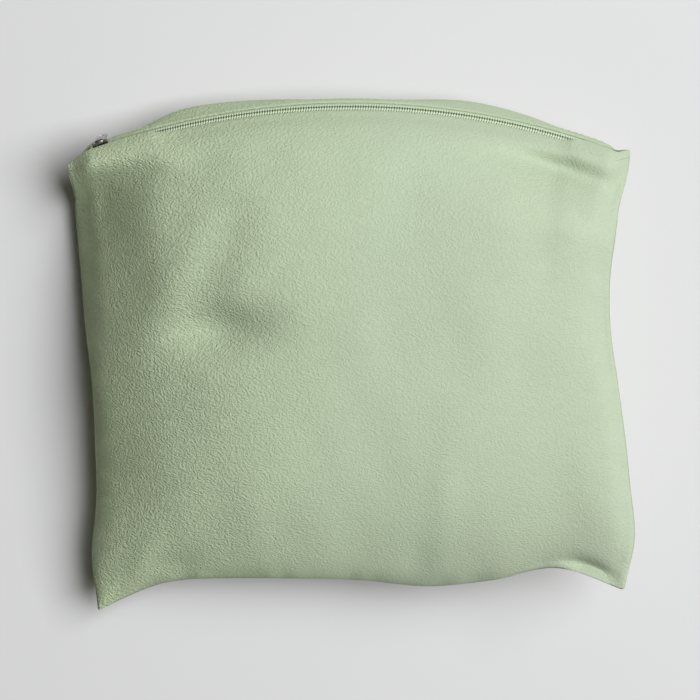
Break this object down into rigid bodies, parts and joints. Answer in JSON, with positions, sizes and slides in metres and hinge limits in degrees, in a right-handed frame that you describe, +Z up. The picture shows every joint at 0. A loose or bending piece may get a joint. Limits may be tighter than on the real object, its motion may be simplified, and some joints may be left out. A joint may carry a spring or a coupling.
{
  "type": "camp pillow",
  "caption": "Small plump zipped camp pillow: a two-panel soft fabric cover closed by a curved coil zip, over a removable fibre-filled insert.",
  "frame": {"origin": "centre of the bounding box's underside, on the surface that the pillow lies on", "axes": "+Z up through the pillow's thickness, from its back to its front; +Y across it towards the zip edge; +X along the zip, away from the closed slider"},
  "size_m": [0.2239, 0.2046, 0.06],
  "materials": {
    "cover_fabric": "sage green brushed crepe, fine pebbled grain, soft sheen",
    "thread": "sage green polyester sewing thread",
    "zip_tape": "sage green woven polyester tape",
    "zip_coil": "sage green nylon monofilament",
    "zip_metal": "dark nickel plated zinc",
    "casing_fabric": "white plain-woven polyester",
    "fibre": "white polyester fibre"
  },
  "bodies": {
    "pillow": {"cover_front": "cover_fabric", "cover_back": "cover_fabric", "topstitch_front": "thread", "topstitch_back": "thread", "zipper_tape_front": "zip_tape", "zipper_tape_back": "zip_tape", "zipper_coil_front": "zip_coil", "zipper_coil_back": "zip_coil", "top_stops": "zip_coil", "bottom_stop": "zip_coil", "insert_casing_front": "casing_fabric", "insert_casing_back": "casing_fabric", "fibre_fill": "fibre"},
    "slider": {"slider_body": "zip_metal", "slider_crown": "zip_metal"},
    "pull": {"pull_tab": "zip_metal"}
  },
  "joints": [
    {"name": "slider_travel", "type": "hinge", "parent": "pillow", "child": "slider", "pos_m": [0, -0.2007, 0.028], "axis": [0, 0, -1], "range_deg": [0, 38.1]},
    {"name": "pull_swing", "type": "hinge", "parent": "slider", "child": "pull", "pos_m": [-0.09923, 0.08587, 0.03016], "axis": [0.9449, 0.3272, 0], "range_deg": [0, 200]}
  ]
}
